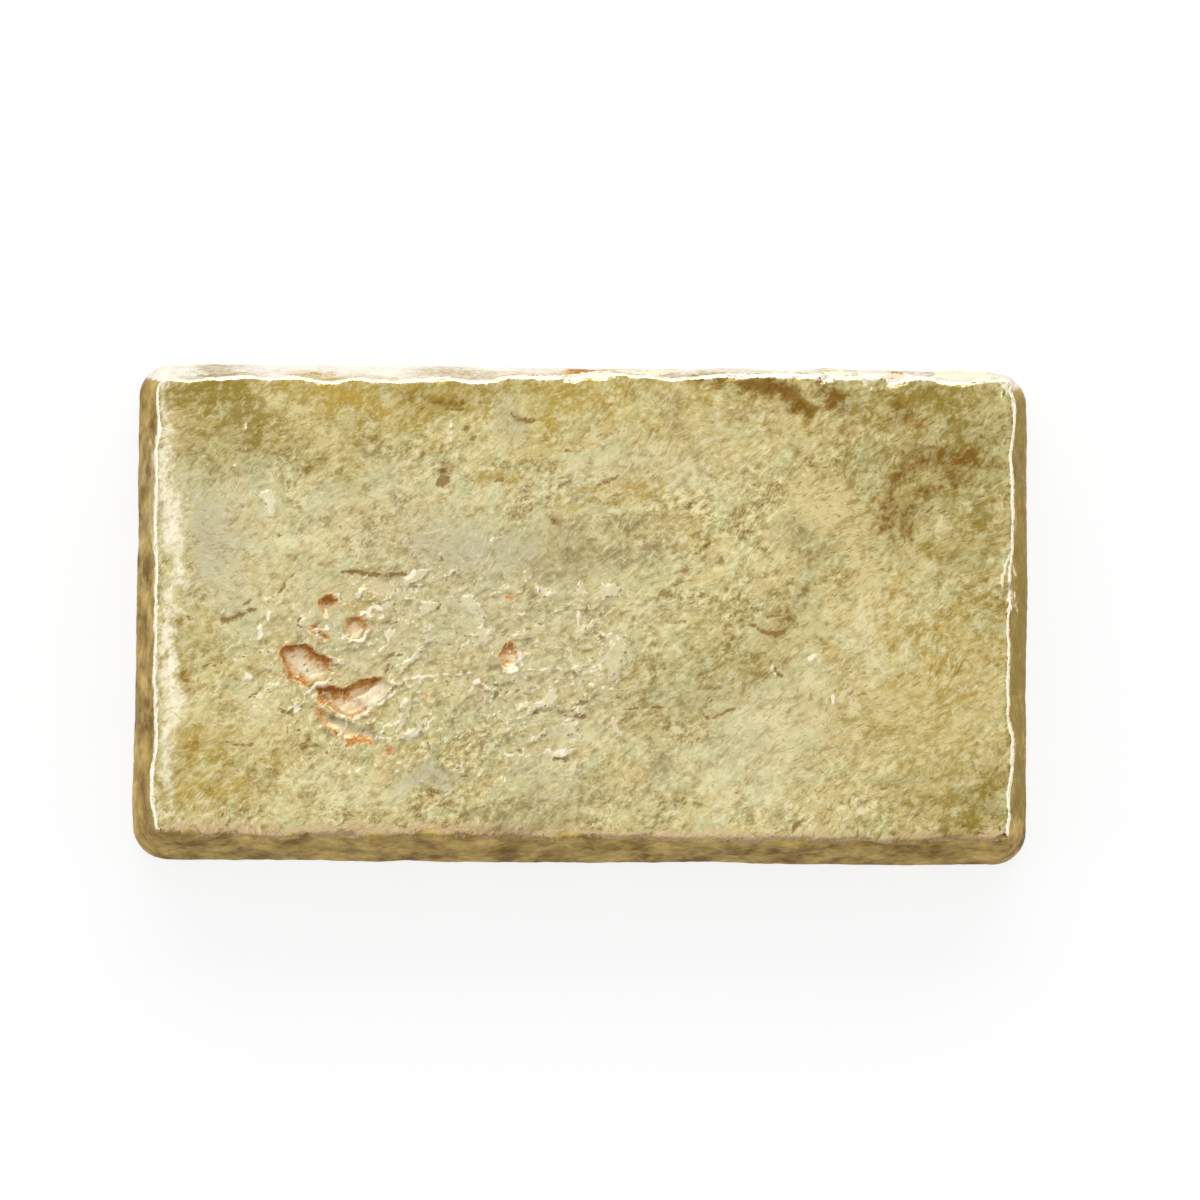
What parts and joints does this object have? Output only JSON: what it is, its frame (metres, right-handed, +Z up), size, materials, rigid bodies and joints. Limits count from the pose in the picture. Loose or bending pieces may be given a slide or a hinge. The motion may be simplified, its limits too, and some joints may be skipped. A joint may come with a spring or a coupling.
{
  "type": "metal ingot",
  "caption": "Hand-poured rectangular metal ingot with drafted walls, rounded corners and a pitted, tarnished upper face; raw stock for melting, rolling or stacking.",
  "frame": {"origin": "middle of the foot outline, on the plane that the ingot rests on", "axes": "+X along the length, +Y along the width, +Z up out of the upper, mould-floor face"},
  "size_m": [0.08, 0.0444, 0.009],
  "materials": {
    "cast_metal": "as-cast yellow metal with khaki tarnish, brown toning, rubbed bright edges and coppery pits"
  },
  "bodies": {
    "root": {"ingot": "cast_metal"}
  },
  "joints": []
}
